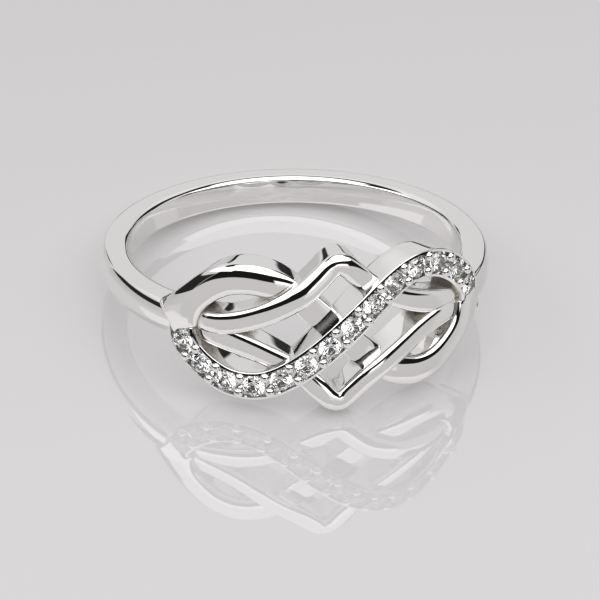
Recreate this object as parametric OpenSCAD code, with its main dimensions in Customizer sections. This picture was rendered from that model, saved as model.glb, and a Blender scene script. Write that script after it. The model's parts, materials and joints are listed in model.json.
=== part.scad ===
// Celtic knot finger ring, lying on its side.
// A plain round shank carries a knot of interlaced strands: two bands that cross as a
// lying figure of eight, one polished and one paved with stones, and a pointed loop
// that weaves over the polished band and under the paved one.
// The knot is drawn flat, as if the ring were unrolled, and then wrapped round the
// finger hole: x runs round the ring, y along the finger, and h is the height above
// the finger hole's wall. The knot looks the same after half a turn about its middle.

/* [Finger hole and shank] */
// Inside diameter of the ring
finger_d = 17.3; // [15.5:0.1:20]
// Width of the shank along the finger
shank_w = 1.68; // [1.4:0.02:2.2]
// Thickness of the shank at its two edges
shank_t = 1.33; // [1.2:0.01:1.8]
// How much thicker the shank is along its middle
shank_crown = 0.19; // [0.05:0.01:0.3]
// How much thicker the shank would be under the knot's middle than at its back
shoulder = 0.4; // [0.2:0.05:0.6]

/* [Knot] */
// Length of the knot along the finger, from tip to tip of the pointed loop
knot_len = 8.76; // [8.4:0.02:9.2]
// Width of the polished and the paved band
band_w = 1.5; // [1.2:0.05:1.7]
// Width of the pointed loop's strand
loop_w = 1.2; // [1:0.05:1.4]
// How far the rounded strands fall from their crown to their side walls
crown_drop = 0.45; // [0.2:0.05:0.6]

/* [Stones] */
// Diameter of one round stone
stone_d = 1.15; // [0.9:0.05:1.2]
// Distance between neighbouring stones along the paved band
stone_pitch = 1.55; // [1.4:0.05:1.7]
// Play between a stone and its seat
stone_gap = 0.03; // [0.02:0.01:0.06]
// Diameter of one of the round beads that hold the stones
bead_d = 0.46; // [0.35:0.01:0.6]

/* [Hidden] */
STONE_COUNT = 14;
STONES = [for (i = [1 : STONE_COUNT]) str("stone_", i < 10 ? "0" : "", i)];

METAL = "silver";
GEM = "azure";

finger_r = finger_d / 2;
// Radius at which lengths along x are true
wrap_r = 10.6;
// The strands start this far inside the finger hole, which is cut afterwards
overcut = 0.6;
// Behind the knot the finger hole's wall is cut this much wider, in flats
knot_clear = 0.01;
hole_sides = 120;

// Half of a band, from the knot's middle to its lobe. x and y of the centreline, the
// height of the paved band and of the polished band, how much of the crown the polished
// band has there, and how wide it is
BAND = [
    //  x     y    paved  plain crown  width
    [ 0.00, 0.00, 2.10, 1.15, 0.00, 1.00],
    [ 0.80, 0.72, 2.08, 1.15, 0.00, 1.00],
    [ 1.70, 1.48, 1.98, 1.20, 0.10, 1.00],
    [ 2.60, 2.14, 1.85, 1.40, 0.60, 1.05],
    [ 3.60, 2.66, 1.72, 1.60, 1.00, 1.10],
    [ 4.70, 2.90, 1.65, 1.70, 1.00, 1.10],
    [ 5.90, 2.78, 1.65, 1.75, 1.00, 1.10],
    [ 7.00, 2.26, 1.72, 1.80, 1.00, 1.10],
];
// The paved band's end sinks into the root, and the polished band's end runs into the shank
PAVED_END = [
    //  x     y     h
    [ 7.85, 1.52, 1.85],
    [ 8.35, 0.80, 1.95],
    [ 8.50, 0.00, 1.90],
    [ 8.40,-0.60, 1.55],
];
PLAIN_END = [
    //  x     y     h   crown width
    [ 7.85, 1.56, 1.90, 1.00, 1.08],
    [ 8.65, 0.88, 1.92, 0.90, 1.06],
    [ 9.45, 0.36, 1.84, 0.70, 1.06],
    [10.20, 0.05, 1.73, 0.45, 1.04],
    [11.00, 0.00, 1.60, 0.40, 1.04],
];

// Half of the pointed loop, from its left cusp over its tip to its right cusp.
// x and y of the centreline, the height of the crown, how much of the crown drop it
// has, and how wide it is
ARCH = [
    //  x     y     h   crown width
    [-8.00, 0.30, 1.40, 1.00, 0.60],
    [-7.30, 0.28, 1.65, 1.00, 0.85],
    [-6.20, 0.36, 1.70, 1.00, 0.92],
    [-4.90, 0.70, 1.75, 1.00, 0.95],
    [-3.60, 1.26, 1.90, 1.00, 0.97],
    [-2.15, 2.12, 2.00, 1.00, 1.00],
    [-1.10, 2.98, 1.85, 1.00, 1.00],
    [-0.45, 3.58, 1.75, 1.00, 0.97],
    [ 0.00, 3.78, 1.75, 1.00, 0.95],
    [ 0.45, 3.58, 1.75, 0.90, 0.97],
    [ 1.10, 2.98, 1.65, 0.60, 1.00],
    [ 2.15, 2.12, 1.50, 0.30, 0.90],
    [ 3.60, 1.36, 1.50, 0.30, 0.85],
    [ 4.90, 0.86, 1.50, 0.30, 0.85],
    [ 6.20, 0.46, 1.50, 0.50, 0.88],
    [ 7.30, 0.28, 1.50, 0.80, 0.85],
    [ 8.00, 0.30, 1.35, 1.00, 0.60],
];

// The root between the lobe's end and the shank: x, height of the crown, half width
ROOT = [
    //  x     h    half
    [ 7.95, 1.84, 0.78],
    [ 8.60, 1.86, 0.80],
    [ 9.40, 1.78, 0.81],
    [10.40, 1.71, 0.82],
    [11.00, 1.63, 0.82],
];

// Cross sections, as the part of the half width and the part of the drop below the crown
CROWNED = [[-1, 1], [-0.6, 0.36], [-0.2, 0.04], [0.2, 0.04], [0.6, 0.36], [1, 1]];
ROUNDED = [[-1, 1], [-0.85, 0.45], [-0.45, 0.1], [0.45, 0.1], [0.85, 0.45], [1, 1]];
RIMMED = [[-1, 0], [-0.92, 0], [-0.87, 1], [0.87, 1], [0.92, 0], [1, 0]];
// Height of the two rims along the paved band
rim_h = 0.15;

// Sections between two rows of a table
steps = 2;

// The shank ends this many degrees from the knot's middle, round the knot's root
shank_from = 56;
// A liner inside the root carries the finger hole's wall on, between these two angles
liner_from = 42.6;
liner_to = 60;
liner_t = 1.1;
liner_w = 1.2;
// The shank is drawn this much into the finger hole, which is cut afterwards
shank_in = 0.8;
// Proportions of a round brilliant
table_part = 0.57;
girdle_h = 0.04;
crown_h = 0.16 * stone_d;
pavilion_h = 0.42 * stone_d;
// The beads sit in pairs this far from the paved band's centreline, and rise above its floor
bead_aside = 0.37;
bead_lift = 0.08;
bead_sides = 8;
seat_sides = 12;

// Radius of the shank's crown across its width, and strips on each half of it
crown_r = (pow(shank_w / 2, 2) + pow(shank_crown, 2)) / (2 * shank_crown);
crown_steps = 6;

// The back of the shank and the tip of the loop touch the surface that the ring lies on
rest_tilt = atan((knot_len / 2 - shank_w / 2) / (2 * finger_r + shank_t));
rest_lift = (finger_r + shank_t) * sin(rest_tilt) + shank_w / 2 * cos(rest_tilt);
// How far the loop's lower tip and the back of the shank reach from the finger hole's middle
loop_tip = ARCH[floor(len(ARCH) / 2)];
front_reach = (finger_r + loop_tip[2]) * cos(rest_tilt) + loop_tip[1] * sin(rest_tilt);
back_reach = (finger_r + shank_t + shank_crown - crown_r) * cos(rest_tilt) + crown_r;
rest_shift = (front_reach - back_reach) / 2;

// Wraps a point of the flat drawing round the finger hole
function wrap(x, y, h) =
    let (a = x / wrap_r * 180 / PI, r = finger_r + h)
    [r * sin(a), -r * cos(a), y];

// Smooth curve through the rows of a table, with all its columns
function between(a, b, c, d, t) =
    0.5 * (2 * b + t * (c - a) + t * t * (2 * a - 5 * b + 4 * c - d)
        + t * t * t * (3 * b - a - 3 * c + d));
function row(table, i) =
    i < 0 ? 2 * table[0] - table[1]
    : i >= len(table) ? 2 * table[len(table) - 1] - table[len(table) - 2]
    : table[i];
function smooth(table, n) = [
    for (i = [0 : len(table) - 2], k = [0 : n - 1])
        between(row(table, i - 1), table[i], table[i + 1], row(table, i + 2), k / n),
    table[len(table) - 1]
];

// Unit vector across a path at its point i, in the flat drawing
function across(path, i) =
    let (a = path[max(i - 1, 0)], b = path[min(i + 1, len(path) - 1)],
         d = [b[0] - a[0], b[1] - a[1]])
    [-d[1], d[0]] / norm(d);

// Rows of one strand as x, y, height, drop and half width
function paved_half() = [
    for (b = BAND) [b[0], b[1], b[2], rim_h, band_w / 2],
    for (b = PAVED_END) [b[0], b[1], b[2], rim_h, band_w / 2]
];
function plain_half() = [
    for (b = BAND) [b[0], -b[1], b[3], b[4] * crown_drop + 0.01, b[5] * band_w / 2],
    for (b = PLAIN_END) [b[0], -b[1], b[2], b[3] * crown_drop + 0.01, b[4] * band_w / 2]
];
// The other half of a strand is the same, turned half round
function both(half) = [
    for (i = [len(half) - 1 : -1 : 1]) [-half[i][0], -half[i][1], half[i][2], half[i][3], half[i][4]],
    for (b = half) b
];
function loop_path(turn) = [
    for (a = ARCH) [turn * a[0], turn * a[1], a[2], a[3] * crown_drop, a[4] * loop_w / 2]
];

function root_path(end) = [for (a = ROOT) [end * a[0], 0, a[1], shank_crown, a[2]]];

PAVED = smooth(both(paved_half()), steps);
PLAIN = smooth(both(plain_half()), steps);

// A bar swept along a path, standing on the finger hole
module strand(path, section) {
    m = len(section) + 2;
    n = len(path);
    points = [
        for (i = [0 : n - 1])
            let (p = path[i], side = across(path, i))
            each concat(
                [wrap(p[0] + side[0] * p[4], p[1] + side[1] * p[4], -overcut),
                 wrap(p[0] - side[0] * p[4], p[1] - side[1] * p[4], -overcut)],
                [for (s = section)
                    wrap(p[0] + s[0] * side[0] * p[4], p[1] + s[0] * side[1] * p[4],
                         p[2] - s[1] * p[3])])
    ];
    sides = [
        for (i = [0 : n - 2], k = [0 : m - 1])
            let (a = i * m + k, b = i * m + (k + 1) % m)
            each [[a, b, a + m], [b, b + m, a + m]]
    ];
    ends = [
        for (k = [1 : m - 2])
            each [[0, k + 1, k], [(n - 1) * m, (n - 1) * m + k, (n - 1) * m + k + 1]]
    ];
    polyhedron(points, concat(sides, ends));
}

// Length along a path up to its point i
function run(path, i) =
    i <= 0 ? 0
    : run(path, i - 1) + norm([path[i][0] - path[i - 1][0], path[i][1] - path[i - 1][1]]);
PAVED_RUN = [for (i = [0 : len(PAVED) - 1]) run(PAVED, i)];
// Row of the paved band, and the direction across it, at a distance from the knot's middle
function on_band(s) =
    let (d = s + PAVED_RUN[floor(len(PAVED) / 2)],
         i = max([for (k = [0 : len(PAVED) - 2]) PAVED_RUN[k] <= d ? k : 0]),
         t = (d - PAVED_RUN[i]) / (PAVED_RUN[i + 1] - PAVED_RUN[i]))
    concat((1 - t) * PAVED[i] + t * PAVED[i + 1],
           (1 - t) * across(PAVED, i) + t * across(PAVED, i + 1));

// Puts its children on the paved band, their z axis pointing away from the finger
module seat(s, aside = 0) {
    p = on_band(s);
    x = p[0] + aside * p[5];
    y = p[1] + aside * p[6];
    translate([0, 0, y])
        rotate([0, 0, x / wrap_r * 180 / PI])
        translate([0, -finger_r - p[2] + rim_h, 0])
        rotate([90, 0, 0])
        children();
}

function stone_run(i) = (i - (STONE_COUNT - 1) / 2) * stone_pitch;

// Round brilliant cut, its girdle's lower edge at the paved band's floor
module brilliant(grow = 0) {
    r = stone_d / 2 + grow;
    cylinder(h = girdle_h, r = r);
    translate([0, 0, girdle_h]) cylinder(h = crown_h, r1 = r, r2 = r * table_part);
    translate([0, 0, -pavilion_h - grow]) cylinder(h = pavilion_h + grow, r1 = 0, r2 = r);
}

module knot() {
    strand(PAVED, RIMMED);
    strand(PLAIN, ROUNDED);
    strand(smooth(loop_path(1), steps), ROUNDED);
    strand(smooth(loop_path(-1), steps), ROUNDED);
    strand(root_path(1), CROWNED);
    strand(root_path(-1), CROWNED);
}

// The shank's outside is two half circles, the front one moved out by the shoulder.
// A liner carries the finger hole's wall on into the ends of the lobes.
module shank() {
    rotate_extrude(angle = 180) shank_section();
    for (end = [-1, 1]) {
        translate([0, -shoulder, 0]) rotate([0, 0, end > 0 ? shank_from - 90 : 180])
            rotate_extrude(angle = 90 - shank_from) shank_section();
        rotate([0, 0, end > 0 ? liner_from - 90 : -90 - liner_to])
            rotate_extrude(angle = liner_to - liner_from)
            translate([finger_r - shank_in, -liner_w / 2]) square([liner_t + shank_in, liner_w]);
    }
    for (end = [0, 1]) mirror([end, 0, 0])
        rotate([90, 0, 0]) linear_extrude(shoulder) shank_section();
}

// Flat on the finger's side and on both edges, gently crowned outside
module shank_section() {
    inside = finger_r - shank_in;
    crown_middle = finger_r + shank_t + shank_crown - crown_r;
    polygon(concat(
        [[inside, -shank_w / 2]],
        [for (k = [-crown_steps : crown_steps])
            let (z = k / crown_steps * shank_w / 2)
            [crown_middle + sqrt(crown_r * crown_r - z * z), z]],
        [[inside, shank_w / 2]]));
}

// The cast metal of the knot, with a seat cut for each stone
module knot_metal() {
    resize([0, 0, knot_len]) difference() {
        union() {
            knot();
            for (i = [1 : STONE_COUNT - 1], k = [-1, 1])
                seat(stone_run(i - 0.5), k * bead_aside)
                    translate([0, 0, bead_lift]) sphere(bead_d / 2, $fn = bead_sides);
        }
        for (i = [0 : STONE_COUNT - 1]) seat(stone_run(i)) {
            brilliant(stone_gap, $fn = seat_sides);
            cylinder(h = stone_d, r = stone_d / 2 + stone_gap, $fn = seat_sides);
        }
        cylinder(h = 2 * knot_len, r = (finger_r + knot_clear) / cos(180 / hole_sides),
                 center = true, $fn = hole_sides);
    }
}

// Lays the ring on its side, resting on the pointed loop's tip and the back of the shank
module laid() {
    translate([0, rest_shift, rest_lift]) rotate([-rest_tilt, 0, 0]) children();
}

module ring_body() {
    color(METAL) laid() {
        knot_metal();
        difference() {
            shank();
            cylinder(h = 2 * knot_len, r = finger_r, center = true, $fn = 96);
        }
    }
}

module stone(i) {
    color(GEM) laid() seat(stone_run(i)) brilliant($fn = 48);
}

ring_body();
for (i = [0 : STONE_COUNT - 1]) stone(i);
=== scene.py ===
# Celtic knot finger ring: polished silver with a row of round clear stones, lying on its
# side on a pale glossy floor in soft studio light.
import json
from math import atan2, cos, pi, radians, sin, sqrt, tan

import bmesh
import bpy
from mathutils import Matrix, Vector


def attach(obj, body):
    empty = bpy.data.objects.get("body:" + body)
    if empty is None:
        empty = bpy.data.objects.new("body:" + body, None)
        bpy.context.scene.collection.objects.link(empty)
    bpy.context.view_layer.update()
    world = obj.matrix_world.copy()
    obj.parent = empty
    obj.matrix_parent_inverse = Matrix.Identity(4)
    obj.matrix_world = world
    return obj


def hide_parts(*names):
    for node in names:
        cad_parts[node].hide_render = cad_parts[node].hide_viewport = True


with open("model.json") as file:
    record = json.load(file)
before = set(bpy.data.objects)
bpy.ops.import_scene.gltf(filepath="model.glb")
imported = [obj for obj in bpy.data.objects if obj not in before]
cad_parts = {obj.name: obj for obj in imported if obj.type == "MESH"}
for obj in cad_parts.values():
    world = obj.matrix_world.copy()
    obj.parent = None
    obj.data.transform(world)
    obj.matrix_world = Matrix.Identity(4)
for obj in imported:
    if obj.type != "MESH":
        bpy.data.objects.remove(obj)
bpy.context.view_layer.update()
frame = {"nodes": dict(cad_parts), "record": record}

# The finger hole as the CAD has it: its radius, the shank's width, its middle and its lean
HOLE = frame["record"]["mounts"][0]
FINGER_R = HOLE["dims"]["r_mm"]
SHANK_W = HOLE["dims"]["length_mm"]
LEAN = Matrix.Rotation(-atan2(HOLE["axis"][1], HOLE["axis"][2]), 4, "X")
MM = 0.001

# Sizes in millimetres. The knot is drawn flat and wrapped round the finger hole: x runs
# round the ring from the knot's middle, y along the finger, and heights stand on the hole.
WRAP_R = 10.6

# The shank: how thick it is, how far its outside is crowned and its edges round over, with
# what power, how far it comes forward at the knot, and how wide and high its inside corners
# are rounded
SHANK_H = 1.52
SHANK_CROWN = 0.19
SHANK_EDGE = 0.22
SHANK_POWER = 3.5
SHOULDER = 0.4
SHANK_COVE_W = 0.24
SHANK_COVE_H = 0.45

# The strands: half widths, how far a domed and a flat one round over, the power of a crisp
# and of a soft side, how far their inner corners are rounded, in how many steps a section's
# top and corners are drawn, and how high a corner's foot is, as a share of its rounding
BAND_HALF = 0.75
LOOP_HALF = 0.6
DOME = 0.42
FLAT_EDGE = 0.08
TIGHT = 3.0
ROUND = 2.0
INNER_EDGE = 0.12
TOP_STEPS = 20
CORNER_STEPS = 8
COVE_LIFT = 0.1

# The paved band's channel: how deep it is cut, and how far below its rims the row of stones
# and beads is set
CHANNEL_CUT = 0.25
ROW_DOWN = 0.15
# Half its section, from its inner corner up its side, over the rim and down to its middle:
# how far out, in half widths, and how high. The heights are from the finger hole, then from
# the rim's top, then from the channel's floor.
PAVED_CORNER = [(0.93, 0.0), (0.985, 0.03), (1.0, 0.10)]
PAVED_RIM = [
    (1.0, -0.6),
    (1.0, -0.13),
    (0.995, -0.08),
    (0.975, -0.053),
    (0.93, -0.037),
    (0.88, -0.022),
    (0.84, -0.01),
    (0.81, 0),
    (0.80, -0.01),
]
PAVED_FLOOR = [(0.79, 0.02), (0.78, 0), (0.40, 0)]

# The stones: width, spacing, how far they stand up in their seats, and the turn from one to
# the next. Then the cone that cuts a seat: its radius and depth at the girdle, and how much
# bigger the cutter is, so that it comes out above the metal.
STONE_D = 1.15
STONE_PITCH = 1.55
STONE_LIFT = 0.02
STONE_TURN = 1.3
SEAT_R = 0.6
SEAT_DEEP = 0.55
SEAT_OVER = 1.05

# The beads: radius, how far from the row's middle, how far up, how flattened, and how long
# their posts are
BEAD_R = 0.27
BEAD_ASIDE = 0.41
BEAD_LIFT = 0.07
BEAD_FLATTENED = 0.9
BEAD_POST = 0.45

# A round brilliant with a radius of 1: its table, half its girdle's height, the slopes of its
# facets in degrees, and where the planes of its upper and lower halves pass
TABLE_R = 0.57
GIRDLE = 0.035
CROWN_SLOPE = 34
STAR_SLOPE = 21
UPPER_HALF_SLOPE = 40
PAVILION_SLOPE = 41
LOWER_HALF_SLOPE = 42.3
HALVES_R = 0.985
HALVES_HEIGHT = GIRDLE * 1.2

# Points this near to each other are one, and a sharper bend than this stays a crisp edge
NEAR = 0.0001
CREASE = radians(40)

# The silver's finish: waves about 1.1 mm long, where the buffing wheel pressed more or less,
# and dark specks about 0.14 mm wide, laid only in the painted shade, as coarse as they need to
# be to show. Where other metal is nearer than the gap, shade is painted into the colour.
WAVES_PER_M = 900
WAVE_HEIGHT_M = 0.000004
SPECKS_PER_M = 7000
SHADE_GAP_M = 0.0007
# The stones' haze, in patches of 0.4 mm, coarser than a real lap leaves so that it shows, and
# the floor's smears, about 17 mm wide
HAZE_PER_M = 2500
SMEARS_PER_M = 60

# Half of the polished band: x, y, height, how domed it is, outer and inner half width
PLAIN = [
    (0.00, 0.00, 1.15, 0.00, 1.00, 1.00),
    (0.80, 0.72, 1.15, 0.00, 1.00, 1.00),
    (1.70, 1.48, 1.16, 0.00, 1.00, 1.00),
    (2.60, 2.14, 1.38, 0.60, 1.05, 1.05),
    (3.60, 2.66, 1.60, 1.00, 1.10, 1.10),
    (4.70, 2.90, 1.70, 1.00, 1.10, 1.10),
    (5.90, 2.78, 1.75, 1.00, 1.10, 1.10),
    (7.00, 2.26, 1.80, 1.00, 1.10, 1.10),
    (7.85, 1.56, 1.90, 1.00, 1.08, 1.15),
    (8.65, 0.90, 1.92, 0.90, 1.06, 1.80),
    (8.96, 0.42, 1.90, 0.85, 1.28, 1.62),
    (9.18, 0.10, 1.87, 0.70, 1.50, 1.25),
    (9.26, 0.04, 1.86, 0.60, 1.56, 1.18),
]
# Places round the shank where its section is set, up to its back at half a turn
SHANK_X = [9.33, 9.46, 10.1, 11.2, 12.2, 13.6, 15.2, 17.0, 19.0, 21.0, 23.0, 25.0, 27.0, 29.0,
           31.0, WRAP_R * pi]

# Half of the paved band: x, y, height of its rims, how deep its channel is
PAVED = [
    (0.00, 0.00, 2.10, 1.0),
    (0.80, 0.72, 2.08, 1.0),
    (1.70, 1.48, 1.98, 1.0),
    (2.60, 2.14, 1.85, 1.0),
    (3.60, 2.66, 1.72, 1.0),
    (4.70, 2.90, 1.65, 1.0),
    (5.90, 2.78, 1.65, 1.0),
    (7.00, 2.26, 1.72, 1.0),
    (7.85, 1.52, 1.85, 1.0),
    (8.35, 0.80, 1.95, 1.0),
    (8.52, 0.25, 1.88, 0.9),
    (8.53, -0.05, 1.76, 0.1),
    (8.42, -0.45, 1.45, 0.0),
]

# Half of the pointed loop: x, y, height, how domed it is, how wide it is
ARCH = [
    (-8.00, 0.30, 1.40, 0.6, 0.70),
    (-7.30, 0.28, 1.65, 0.6, 0.92),
    (-6.20, 0.36, 1.70, 0.6, 0.96),
    (-4.90, 0.70, 1.75, 0.7, 0.98),
    (-3.60, 1.26, 1.90, 0.8, 1.00),
    (-2.15, 2.12, 2.00, 1.0, 1.02),
    (-1.10, 2.98, 1.85, 1.0, 1.00),
    (-0.45, 3.58, 1.75, 1.0, 0.97),
    (0.00, 3.765, 1.75, 1.0, 0.95),
    (0.45, 3.58, 1.75, 0.9, 0.97),
    (1.10, 2.98, 1.65, 0.6, 1.00),
    (2.15, 2.12, 1.50, 0.7, 0.98),
    (3.60, 1.36, 1.52, 0.8, 1.00),
    (4.90, 0.86, 1.54, 0.7, 1.05),
    (6.20, 0.50, 1.56, 0.5, 1.05),
    (7.30, 0.30, 1.58, 0.6, 0.95),
    (8.00, 0.30, 1.35, 1.0, 0.60),
]


# Drawing

def wrap(x, y, height):
    """A point of the flat drawing, wrapped round the finger hole."""
    angle = x / WRAP_R
    radius = FINGER_R + height
    return Vector((radius * sin(angle), -radius * cos(angle), y))


def smooth(rows, steps):
    """The rows of a table joined by a smooth curve, with so many steps from row to row."""
    rows = [Vector(row) for row in rows]
    before = [2 * rows[0] - rows[1]] + rows
    after = rows + [2 * rows[-1] - rows[-2]]
    path = []
    for i in range(len(rows) - 1):
        a, b, c, d = before[i], rows[i], rows[i + 1], after[i + 2]
        for k in range(steps):
            t = k / steps
            path.append(0.5 * (2 * b + t * (c - a) + t * t * (2 * a - 5 * b + 4 * c - d)
                               + t ** 3 * (3 * b - a - 3 * c + d)))
    return path + [rows[-1]]


def across(path, i):
    """Unit vector to the left of a path at its row i."""
    a, b = path[max(i - 1, 0)], path[min(i + 1, len(path) - 1)]
    return Vector((a[1] - b[1], b[0] - a[0])).normalized()


def wrapped(row, side, section):
    """A section's points, given as how far to the left and how high, on the ring."""
    return [wrap(row[0] + t * side[0], row[1] + t * side[1], h) for t, h in section]


def domed(height, crown, edge, cove_w, cove_h, power_left, power_right, left, right):
    """Section of a strand: a crowned top that rounds over into side walls, on the finger hole.

    The higher a side's power, the tighter it rounds. The inside stands on the finger hole, and
    its corners are rounded off so wide and so high.
    """
    points = []
    for k in range(TOP_STEPS + 1):
        u, v = cos(pi * k / TOP_STEPS), sin(pi * k / TOP_STEPS)
        power = power_left if u > 0 else power_right
        u = abs(u) ** (2 / power) * (1 if u > 0 else -1)
        v = max(v, 0) ** (2 / power)
        points.append((u * (left if u > 0 else right), height - crown * u * u - edge * (1 - v)))
    wall = height - crown - edge
    turns = [pi / 2 * k / CORNER_STEPS for k in range(CORNER_STEPS + 1)]
    corner = [(1 - cos(turn), 1 - sin(turn)) for turn in turns]
    lift = COVE_LIFT * cove_h
    inside = [(cove_w * c, lift + (cove_h - lift) * h) for c, h in corner]
    points.append((-right, (wall + cove_h) / 2))
    points += [(c - right, h) for c, h in inside]
    points += [((cove_w - right) * 0.5, lift / 4),
               ((left - right) * 0.5, 0),
               ((left - cove_w) * 0.5, lift / 4)]
    points += [(left - c, h) for c, h in reversed(inside)]
    points.append((left, (wall + cove_h) / 2))
    return points


def channelled(height, depth):
    """Section of the paved band: a channel between two narrow rims, with side walls."""
    floor_h = height - CHANNEL_CUT * depth
    half = (PAVED_CORNER + [(t, height + h) for t, h in PAVED_RIM]
            + [(t, floor_h + h) for t, h in PAVED_FLOOR])
    points = [(BAND_HALF * t, h) for t, h in half]
    return points + [(-t, h) for t, h in reversed(points)]


def strand(height, dome, soft_side, left, right):
    """What domed() needs for a strand. The more domed it is, the rounder its soft side."""
    edge = FLAT_EDGE + (DOME - FLAT_EDGE) * dome
    soft = TIGHT + (ROUND - TIGHT) * dome
    powers = (soft, TIGHT) if soft_side == "left" else (TIGHT, soft)
    return (height, 0, edge, INNER_EDGE, INNER_EDGE, *powers, left, right)


# Modelling

def only(piece):
    """Makes a piece the one that is selected and active."""
    bpy.ops.object.select_all(action="DESELECT")
    piece.select_set(True)
    bpy.context.view_layer.objects.active = piece
    return piece


def new_piece(name):
    """Names the piece that was just made, and selects nothing else."""
    piece = bpy.context.active_object
    piece.name = name
    piece.data.name = name
    return only(piece)


def loft(name, rings, closed=False):
    """Extrudes a ring of edges from place to place, and closes it into a solid."""
    bpy.ops.mesh.primitive_circle_add(vertices=len(rings[0]), radius=1)
    piece = new_piece(name)
    bpy.ops.object.mode_set(mode="EDIT")
    bpy.ops.mesh.select_all(action="SELECT")
    for i, ring in enumerate(rings):
        if i:
            bpy.ops.mesh.extrude_edges_move()
        mesh = bmesh.from_edit_mesh(piece.data)
        new = [v for v in mesh.verts if v.select]
        if i:
            places = {tuple(p): k for k, p in enumerate(last)}
            new.sort(key=lambda v: places[tuple(v.co)])
        for v, p in zip(new, ring):
            v.co = p
        last = [v.co.copy() for v in new]
        bmesh.update_edit_mesh(piece.data)
    bpy.ops.mesh.select_all(action="SELECT")
    if closed:
        bpy.ops.mesh.remove_doubles(threshold=NEAR)
    else:
        bpy.ops.mesh.region_to_loop()
        bpy.ops.mesh.edge_face_add()
    bpy.ops.mesh.select_all(action="SELECT")
    bpy.ops.mesh.normals_make_consistent(inside=False)
    bpy.ops.object.mode_set(mode="OBJECT")
    return piece


def modify(piece, kind, **settings):
    """Adds a modifier with its settings, and applies it."""
    only(piece)
    modifier = piece.modifiers.new(kind.title(), kind)
    for key, value in settings.items():
        setattr(modifier, key, value)
    bpy.ops.object.modifier_apply(modifier=modifier.name)


def subdivided(piece):
    """Rounds a piece with one level of subdivision, and shades it smooth."""
    modify(piece, "SUBSURF", levels=1, render_levels=1)
    bpy.ops.object.shade_smooth()
    return piece


def copies(first, places):
    """Copies a piece to each of the places, every copy with its own mesh, and removes the first."""
    made = []
    for place in places:
        copy = first.copy()
        copy.data = first.data.copy()
        bpy.context.collection.objects.link(copy)
        copy.data.transform(place)
        made.append(copy)
    bpy.data.objects.remove(first)
    return made


def joined(name, pieces):
    """Joins pieces into one with a new name."""
    only(pieces[0])
    for piece in pieces:
        piece.select_set(True)
    bpy.ops.object.join()
    return new_piece(name)


def lay(piece, material, nodes):
    """Lays a finished piece where the CAD has it, and says what it is."""
    only(piece)
    piece.data.transform(Matrix.Translation(HOLE["pos_m"]) @ LEAN @ Matrix.Scale(MM, 4))
    piece.data.materials.clear()
    piece.data.materials.append(material)
    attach(piece, "root")
    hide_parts(*nodes)


# Materials

def colour(code):
    """Linear colour of an sRGB hex value."""
    parts = [int(code[i:i + 2], 16) / 255 for i in (1, 3, 5)]
    return [p / 12.92 if p <= 0.04045 else ((p + 0.055) / 1.055) ** 2.4 for p in parts] + [1.0]


def add(tree, kind, settings=None, links=None):
    """Adds a node, sets its properties and inputs, and links its inputs to other nodes' outputs."""
    made = tree.nodes.new(kind)
    for key, value in (settings or {}).items():
        if isinstance(key, int) or key in made.inputs:
            made.inputs[key].default_value = value
        else:
            setattr(made, key, value)
    for key, output in (links or {}).items():
        tree.links.new(output, made.inputs[key])
    return made


def new_material(name):
    """A material whose nodes are still to be added."""
    material = bpy.data.materials.new(name)
    material.use_nodes = True
    material.node_tree.nodes.clear()
    return material


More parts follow.
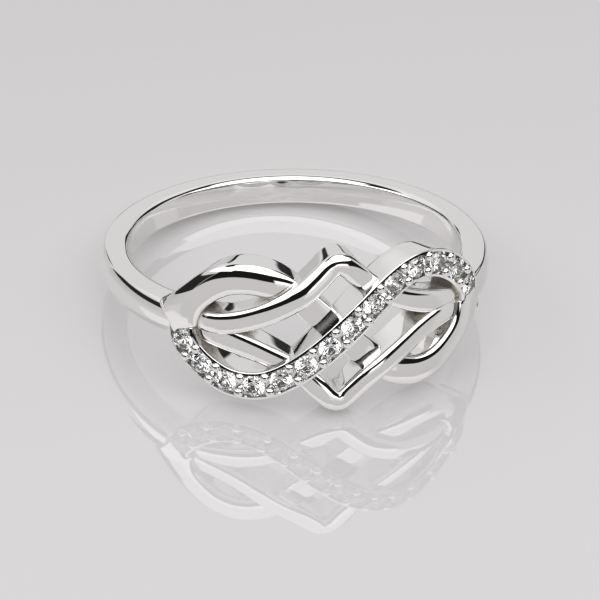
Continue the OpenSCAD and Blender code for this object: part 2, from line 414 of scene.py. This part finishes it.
def polished_silver(name, painted_shade_most):
    """Silver-white cast metal, buffed by hand to a mirror, with shade painted into its corners.

    The buffing wheel leaves a faint unevenness that bends the reflections a little. Where other
    metal is near, between the strands and the beads, shade is painted in: the colour turns darker
    and browner, with darker specks, and the metal is duller and less metallic. The last argument
    is the most painted shade, 0 to 1.
    """
    metal_colour, painted_shade_colour, shade_speck_colour = colour("#F4F3F1"), colour("#9A8D7D"), colour("#3A332B")
    unshaded_ao, fully_shaded_ao = 0.75, 0.3
    speck_edge, speck_middle = 0.56, 0.64
    wave_low, wave_high = 0.3, 0.7
    smooth_rough, uneven_rough, shaded_rough = 0.02, 0.05, 0.25

    material = new_material(name)
    tree = material.node_tree
    place = add(tree, "ShaderNodeTexCoord").outputs["Object"]
    waves = add(tree, "ShaderNodeTexNoise", {"Scale": WAVES_PER_M, "Detail": 1.0}, {"Vector": place})
    specks = add(tree, "ShaderNodeTexNoise", {"Scale": SPECKS_PER_M, "Detail": 3.0}, {"Vector": place})
    # Painted shade: where other metal is near, the colour turns darker and browner, with dark specks,
    # and the metal is duller.
    open_air = add(tree, "ShaderNodeAmbientOcclusion", {"samples": 8, "Distance": SHADE_GAP_M})
    painted_shade = add(tree, "ShaderNodeMapRange",
               {"From Min": unshaded_ao, "From Max": fully_shaded_ao, "To Max": painted_shade_most},
               {"Value": open_air.outputs["AO"]})
    dots = add(tree, "ShaderNodeMapRange", {"From Min": speck_edge, "From Max": speck_middle},
               {"Value": specks.outputs[0]})
    dotted = add(tree, "ShaderNodeMath", {"operation": "MULTIPLY"},
                 {0: painted_shade.outputs[0], 1: dots.outputs[0]})
    shade_coloured = add(tree, "ShaderNodeMix", {"data_type": "RGBA", 6: metal_colour, 7: painted_shade_colour},
                 {0: painted_shade.outputs[0]})
    shade_and_specks = add(tree, "ShaderNodeMix", {"data_type": "RGBA", 7: shade_speck_colour},
                {0: dotted.outputs[0], 6: shade_coloured.outputs[2]})
    buffed = add(tree, "ShaderNodeMapRange",
                 {"From Min": wave_low, "From Max": wave_high,
                  "To Min": smooth_rough, "To Max": uneven_rough},
                 {"Value": waves.outputs[0]})
    dull = add(tree, "ShaderNodeMath", {"operation": "MULTIPLY_ADD", 1: shaded_rough},
               {0: painted_shade.outputs[0], 2: buffed.outputs[0]})
    relief = add(tree, "ShaderNodeBump", {"Strength": 1.0, "Distance": WAVE_HEIGHT_M},
                 {"Height": waves.outputs[0]})
    unshaded_share = add(tree, "ShaderNodeMath", {"operation": "SUBTRACT", 0: 1.0}, {1: painted_shade.outputs[0]})
    shader = add(tree, "ShaderNodeBsdfPrincipled",
                 links={"Base Color": shade_and_specks.outputs[2], "Metallic": unshaded_share.outputs[0],
                        "Roughness": dull.outputs[0], "Normal": relief.outputs[0]})
    add(tree, "ShaderNodeOutputMaterial", links={"Surface": shader.outputs[0]})
    return material


def clear_stone():
    """Colourless cubic zirconia, its facets lapped flat on a spinning disc.

    Light bends and bounces about inside, so that the facets show as sharp black and white
    patches. The disc leaves a haze too faint to see by itself, which softens some of them.
    """
    haze_low, haze_high, haze_rough = 0.5, 0.8, 0.01

    material = new_material("cubic_zirconia")
    tree = material.node_tree
    place = add(tree, "ShaderNodeTexCoord").outputs["Object"]
    haze = add(tree, "ShaderNodeTexNoise", {"Scale": HAZE_PER_M, "Detail": 1.0}, {"Vector": place})
    lapped = add(tree, "ShaderNodeMapRange",
                 {"From Min": haze_low, "From Max": haze_high, "To Max": haze_rough},
                 {"Value": haze.outputs[0]})
    shader = add(tree, "ShaderNodeBsdfPrincipled",
                 {"Base Color": colour("#FFFFFF"), "IOR": 2.16, "Transmission Weight": 1.0},
                 {"Roughness": lapped.outputs[0]})
    add(tree, "ShaderNodeOutputMaterial", links={"Surface": shader.outputs[0]})
    return material


def glossy_floor():
    """A sheet of white acrylic, cast smooth and wiped with a cloth, on a shooting table.

    It glows faintly, more at the front, painted light that keeps its shadows pale.
    Its gloss mirrors the ring, a little less sharply where the cloth left smears.
    """
    smear_low, smear_high, clean_rough, smeared_rough = 0.3, 0.7, 0.01, 0.05
    front_m, back_m, front_glow, back_glow = -0.02, 0.03, 0.3, 0.22
    gloss_share = 0.11

    material = new_material("glossy_acrylic")
    tree = material.node_tree
    place = add(tree, "ShaderNodeTexCoord").outputs["Object"]
    smears = add(tree, "ShaderNodeTexNoise", {"Scale": SMEARS_PER_M, "Detail": 2.0}, {"Vector": place})
    wiped = add(tree, "ShaderNodeMapRange",
                {"From Min": smear_low, "From Max": smear_high,
                 "To Min": clean_rough, "To Max": smeared_rough},
                {"Value": smears.outputs[0]})
    back = add(tree, "ShaderNodeSeparateXYZ", links={"Vector": place})
    # Painted light: the floor glows, more at the front than at the back, so that its shadows stay
    # pale.
    painted_glow = add(tree, "ShaderNodeMapRange",
                {"From Min": front_m, "From Max": back_m, "To Min": front_glow, "To Max": back_glow},
                {"Value": back.outputs[1]})
    body = add(tree, "ShaderNodeBsdfDiffuse", {"Color": colour("#9F9D9E")})
    glow = add(tree, "ShaderNodeEmission", {"Color": colour("#FFFDFE")},
               {"Strength": painted_glow.outputs[0]})
    lit = add(tree, "ShaderNodeAddShader", links={0: body.outputs[0], 1: glow.outputs[0]})
    gloss = add(tree, "ShaderNodeBsdfGlossy", {"Color": colour("#FFFFFF")},
                {"Roughness": wiped.outputs[0]})
    shader = add(tree, "ShaderNodeMixShader", {0: gloss_share},
                 {1: lit.outputs[0], 2: gloss.outputs[0]})
    add(tree, "ShaderNodeOutputMaterial", links={"Surface": shader.outputs[0]})
    return material


# Pieces

def half_turned(rows):
    """A half table completed by the same rows turned half round, their two sides swapped."""
    turned = [(-r[0], -r[1], *r[2:-4], r[-3], r[-4], r[-1], r[-2]) for r in rows[:0:-1]]
    return turned + list(rows)


def shank_row(x):
    """The shank's section at x. Its outside is a circle, its front half moved out by SHOULDER."""
    out = SHOULDER * max(cos(x / WRAP_R), 0)
    turn = min(x / WRAP_R, pi / 2)
    radius = FINGER_R + SHANK_H
    height = out + sqrt(radius ** 2 - (SHOULDER * sin(turn) * (out > 0)) ** 2) - FINGER_R
    return (x, 0, height, SHANK_CROWN, SHANK_EDGE, SHANK_COVE_W, SHANK_COVE_H,
            SHANK_POWER, SHANK_POWER, SHANK_W / 2, SHANK_W / 2)


def band_and_shank(silver):
    """The plain shank and the polished band that runs on from both its ends, one closed hoop."""
    rows = [(x, -y, *strand(height, dome, "right", BAND_HALF * inner, BAND_HALF * outer))
            for x, y, height, dome, outer, inner in PLAIN]
    rows = half_turned(rows + [shank_row(x) for x in SHANK_X])
    path = smooth(rows, steps=3)
    rings = []
    for i, row in enumerate(path):
        side = across(path, i) if 0 < i < len(path) - 1 else Vector((0, 1))
        rings.append(wrapped(row, side, domed(*row[2:])))
    piece = loft("polished_band_and_shank", rings, closed=True)
    lay(subdivided(piece), silver, ["ring_body"])


def paved_path():
    """The whole paved band's path, from the left to the right."""
    turned = [(-x, -y, h, d) for x, y, h, d in PAVED[:0:-1]]
    return smooth(turned + PAVED, steps=4)


def stone_places(offsets):
    """Places in the paved band's channel, so far along and aside, as matrices with z outwards."""
    path = paved_path()
    runs = [0.0]
    for a, b in zip(path, path[1:]):
        runs.append(runs[-1] + (b.xy - a.xy).length)
    middle = runs[len(path) // 2]
    places = []
    for along, aside in offsets:
        i = max(k for k in range(len(path) - 1) if runs[k] <= middle + along)
        t = (middle + along - runs[i]) / (runs[i + 1] - runs[i])
        row = path[i].lerp(path[i + 1], t)
        side = across(path, i).lerp(across(path, i + 1), t)
        x, y = row[0] + aside * side[0], row[1] + aside * side[1]
        place = Matrix.Translation(wrap(x, y, row[2] - ROW_DOWN))
        places.append(place @ Matrix.Rotation(x / WRAP_R, 4, "Z") @ Matrix.Rotation(pi / 2, 4, "X"))
    return places


def stone_runs(count):
    """How far along the paved band each stone is, from the knot's middle."""
    return [(i - (count - 1) / 2) * STONE_PITCH for i in range(count)]


def seat_cutter():
    """The cone that cuts a stone's seat: its tip down in the metal, its rim just above the girdle."""
    bpy.ops.mesh.primitive_cone_add(vertices=32, radius1=0, radius2=SEAT_R * SEAT_OVER,
                                    depth=SEAT_DEEP * SEAT_OVER)
    cutter = new_piece("seat_cutter")
    bpy.ops.object.mode_set(mode="EDIT")
    bpy.ops.mesh.select_all(action="SELECT")
    bpy.ops.transform.translate(value=(0, 0, SEAT_DEEP * (SEAT_OVER / 2 - 1)))
    bpy.ops.object.mode_set(mode="OBJECT")
    return cutter


def paved_band(silver, seats):
    """The band with the channel and a cone-shaped seat cut for each stone."""
    path = paved_path()
    rings = [wrapped(row, across(path, i), channelled(row[2], row[3])) for i, row in enumerate(path)]
    piece = subdivided(loft("paved_band", rings))
    cutters = joined("seat_cutters", copies(seat_cutter(), seats))
    modify(piece, "BOOLEAN", operation="DIFFERENCE", object=cutters, solver="EXACT")
    bpy.data.objects.remove(cutters)
    only(piece)
    bpy.ops.object.shade_smooth_by_angle(angle=CREASE)
    lay(piece, silver, ["ring_body"])


def pointed_loop(silver):
    """The loop's upper strand, and the same turned half round as its lower strand."""
    for name, turn in (("pointed_loop_upper", 1), ("pointed_loop_lower", -1)):
        rows = [(turn * x, turn * y, *strand(height, dome, "left", LOOP_HALF * wide, LOOP_HALF * wide))
                for x, y, height, dome, wide in ARCH]
        path = smooth(rows, steps=5)
        rings = [wrapped(row, across(path, i), domed(*row[2:])) for i, row in enumerate(path)]
        lay(subdivided(loft(name, rings)), silver, ["ring_body"])


def bead_prong():
    """A round bead raised from the metal: a flattened ball on a short post."""
    bpy.ops.mesh.primitive_uv_sphere_add(segments=24, ring_count=16, radius=BEAD_R)
    bead = new_piece("bead_prong")
    bpy.ops.object.mode_set(mode="EDIT")
    bpy.ops.mesh.select_all(action="SELECT")
    bpy.ops.mesh.bisect(plane_co=(0, 0, 0), plane_no=(0, 0, -1), use_fill=True, clear_outer=True)
    bpy.ops.mesh.select_all(action="SELECT")
    bpy.ops.transform.resize(value=(1, 1, BEAD_FLATTENED))
    bpy.ops.transform.translate(value=(0, 0, BEAD_LIFT))
    # The flat face underneath is drawn down into the post. All is deselected first, because
    # deselecting the faces round it one by one would take its own corners with them.
    bpy.ops.mesh.select_all(action="DESELECT")
    mesh = bmesh.from_edit_mesh(bead.data)
    for face in mesh.faces:
        if face.normal.z < -0.9:
            face.select = True
    bmesh.update_edit_mesh(bead.data)
    bpy.ops.mesh.extrude_region_move(TRANSFORM_OT_translate={"value": (0, 0, -BEAD_POST)})
    bpy.ops.object.mode_set(mode="OBJECT")
    bpy.ops.object.shade_smooth_by_angle(angle=CREASE)
    return bead


def beads(silver, places):
    """The two rows of beads that hold the stones, between one stone and the next."""
    lay(joined("bead_prongs", copies(bead_prong(), places)), silver, ["ring_body"])


def facet(turn, slope, out, height):
    """Grinds one facet: cuts away what lies beyond a plane so far out and so high.

    A facet of the crown has its height above the girdle's middle, one of the pavilion beneath it.
    """
    up = 1 if height > 0 else -1
    slope = radians(slope)
    bpy.ops.mesh.select_all(action="SELECT")
    bpy.ops.mesh.bisect(plane_co=(out * cos(turn), out * sin(turn), height),
                        plane_no=(sin(slope) * cos(turn), sin(slope) * sin(turn), up * cos(slope)),
                        use_fill=True, clear_outer=True, threshold=NEAR)


def brilliant():
    """A round brilliant: table, 8 kites and 8 mains, 8 stars, 16 upper and 16 lower halves."""
    table_h = GIRDLE + (1 - TABLE_R) * tan(radians(CROWN_SLOPE))
    bpy.ops.mesh.primitive_cylinder_add(vertices=96, radius=1, depth=3)
    stone = new_piece("brilliant")
    bpy.ops.object.mode_set(mode="EDIT")
    facet(0, 0, 0, table_h)
    for k in range(8):
        turn = 2 * pi * k / 8
        facet(turn, CROWN_SLOPE, 1, GIRDLE)
        facet(turn, PAVILION_SLOPE, 1, -GIRDLE)
    for k in range(8):
        facet(2 * pi * (k + 0.5) / 8, STAR_SLOPE, TABLE_R * cos(pi / 8), table_h)
    for k in range(16):
        turn = 2 * pi * (k + 0.5) / 16
        facet(turn, UPPER_HALF_SLOPE, HALVES_R, HALVES_HEIGHT)
        facet(turn, LOWER_HALF_SLOPE, HALVES_R, -HALVES_HEIGHT)
    bpy.ops.mesh.select_all(action="SELECT")
    bpy.ops.mesh.remove_doubles(threshold=NEAR)
    bpy.ops.mesh.normals_make_consistent(inside=False)
    bpy.ops.object.mode_set(mode="OBJECT")
    bpy.ops.object.shade_flat()
    return stone


def stones(material, seats):
    """A stone in each seat, each turned by another angle, as a setter leaves them."""
    lifted = Matrix.Translation((0, 0, STONE_LIFT)) @ Matrix.Scale(STONE_D / 2, 4)
    places = [seat @ lifted @ Matrix.Rotation(i * STONE_TURN, 4, "Z") for i, seat in enumerate(seats)]
    for i, piece in enumerate(copies(brilliant(), places)):
        piece.name = f"brilliant_{i + 1:02d}"
        lay(piece, material, [f"stone_{i + 1:02d}"])


# Floor, light and camera

FLOOR_SIZE_M = 1.2
# How bright the studio's walls are, from the front to the back
FRONT_WALL = 0.62
BACK_WALL = 0.72
# The soft boxes and dark cards that hang in front of them, each over those above it. Azimuth
# from straight behind the ring, positive to the right, elevation, half width and half height,
# and softness of the edge, all in degrees, then brightness
CARDS = [
    ("overhead diffuser", 0, 90, 180, 48, 3, 1.7),
    ("dark gap above the backdrop", 0, 52, 85, 7.5, 3, 0.02),
    ("upper part of the backdrop", 0, 36, 85, 9, 8, 0.85),
    ("light over the dark room", 180, 40, 75, 7, 3, 2.2),
    ("dark room in front", 180, 16, 75, 16, 3, 0.01),
    ("window low in front", 166, 2, 14, 8, 4, 1.6),
    ("side softbox", -95, 36, 28, 10, 3, 2.2),
    ("dark wall at the left", -68, 5, 36, 13, 3, 0.02),
    ("dark corner at the left", -17, 8, 5, 5, 3, 0.03),
    ("dark wall at the right", 62, 30, 18, 20, 4, 0.02),
    ("dark foot of the right wall", 40, 5, 13, 6, 3, 0.03),
    ("gap under the backdrop", 35, 2, 33, 2, 1, 0.02),
]


def card(tree, direction, elevation, behind, name, azimuth, height, wide, tall, soft, bright):
    """Hangs one card or soft box in front of what is there, and returns the light after it."""
    turned = add(tree, "ShaderNodeMapping",
                 {"vector_type": "VECTOR", "Rotation": (0, 0, radians(azimuth))},
                 {"Vector": direction})
    turned.label = name
    parts = add(tree, "ShaderNodeSeparateXYZ", links={"Vector": turned.outputs[0]})
    aside = add(tree, "ShaderNodeMath", {"operation": "ARCTAN2"},
                {0: parts.outputs[0], 1: parts.outputs[1]})
    above = add(tree, "ShaderNodeMath", {"operation": "SUBTRACT", 1: radians(height)},
                {0: elevation})
    inside = []
    for offset, half in ((aside, wide), (above, tall)):
        away = add(tree, "ShaderNodeMath", {"operation": "ABSOLUTE"}, {0: offset.outputs[0]})
        within = add(tree, "ShaderNodeMapRange",
                     {"interpolation_type": "SMOOTHSTEP",
                      "From Min": radians(half + soft / 2), "From Max": radians(half - soft / 2)},
                     {"Value": away.outputs[0]})
        inside.append(within.outputs[0])
    both = add(tree, "ShaderNodeMath", {"operation": "MULTIPLY"}, {0: inside[0], 1: inside[1]})
    mixed = add(tree, "ShaderNodeMix", {"data_type": "FLOAT", "B": bright},
                {"Factor": both.outputs[0], "A": behind})
    return mixed.outputs[0]


def studio():
    """The floor, and the soft light and dark cards round it."""
    bpy.ops.object.select_all(action="DESELECT")
    bpy.ops.mesh.primitive_plane_add(size=FLOOR_SIZE_M)
    ground = new_piece("floor")
    ground.data.materials.append(glossy_floor())

    world = bpy.data.worlds.new("studio")
    bpy.context.scene.world = world
    world.use_nodes = True
    tree = world.node_tree
    tree.nodes.clear()
    direction = add(tree, "ShaderNodeTexCoord").outputs["Generated"]
    parts = add(tree, "ShaderNodeSeparateXYZ", links={"Vector": direction})
    elevation = add(tree, "ShaderNodeMath", {"operation": "ARCSINE"}, {0: parts.outputs[2]})
    walls = add(tree, "ShaderNodeMapRange",
                {"From Min": -1, "From Max": 1, "To Min": FRONT_WALL, "To Max": BACK_WALL},
                {"Value": parts.outputs[1]})
    light = walls.outputs[0]
    for row in CARDS:
        light = card(tree, direction, elevation.outputs[0], light, *row)
    back = add(tree, "ShaderNodeBackground", {"Color": colour("#FFFFFF")}, {"Strength": light})
    add(tree, "ShaderNodeOutputWorld", links={"Surface": back.outputs[0]})
    bpy.context.scene.view_settings.view_transform = "Standard"


def camera():
    """The camera at the photograph's angle, with a long lens, aimed inside the ring at its knot."""
    azimuth, elevation, roll = radians(-14.448), radians(34.722), radians(-3.193)
    target = Vector((-0.182, -2.022, 1.509)) * MM
    distance = 198.63 * MM
    back = Vector((sin(azimuth) * cos(elevation), -cos(azimuth) * cos(elevation), sin(elevation)))
    data = bpy.data.cameras.new("camera")
    data.sensor_width = 36
    data.lens = 228.69
    data.clip_start = 0.01
    made = bpy.data.objects.new("camera", data)
    bpy.context.collection.objects.link(made)
    turn = (-back).to_track_quat("-Z", "Y").to_matrix().to_4x4()
    made.matrix_world = (Matrix.Translation(target + distance * back) @ turn
                         @ Matrix.Rotation(-roll, 4, "Z"))
    bpy.context.scene.camera = made


# The ring and its studio. The seats and the beads get less painted shade than the rest of the
# silver, so that they stay bright.
silver = polished_silver("polished_silver", painted_shade_most=0.7)
seat_silver = polished_silver("seat_silver_less_painted_shade", painted_shade_most=0.15)
bead_silver = polished_silver("bead_silver_least_painted_shade", painted_shade_most=0.05)
runs = stone_runs(len([name for name in frame["nodes"] if name.startswith("stone_")]))
seats = stone_places([(run, 0) for run in runs])
bead_spots = [(run + STONE_PITCH / 2, side * BEAD_ASIDE) for run in runs[:-1] for side in (-1, 1)]
band_and_shank(silver)
paved_band(seat_silver, seats)
pointed_loop(silver)
beads(bead_silver, stone_places(bead_spots))
stones(clear_stone(), seats)
studio()
camera()
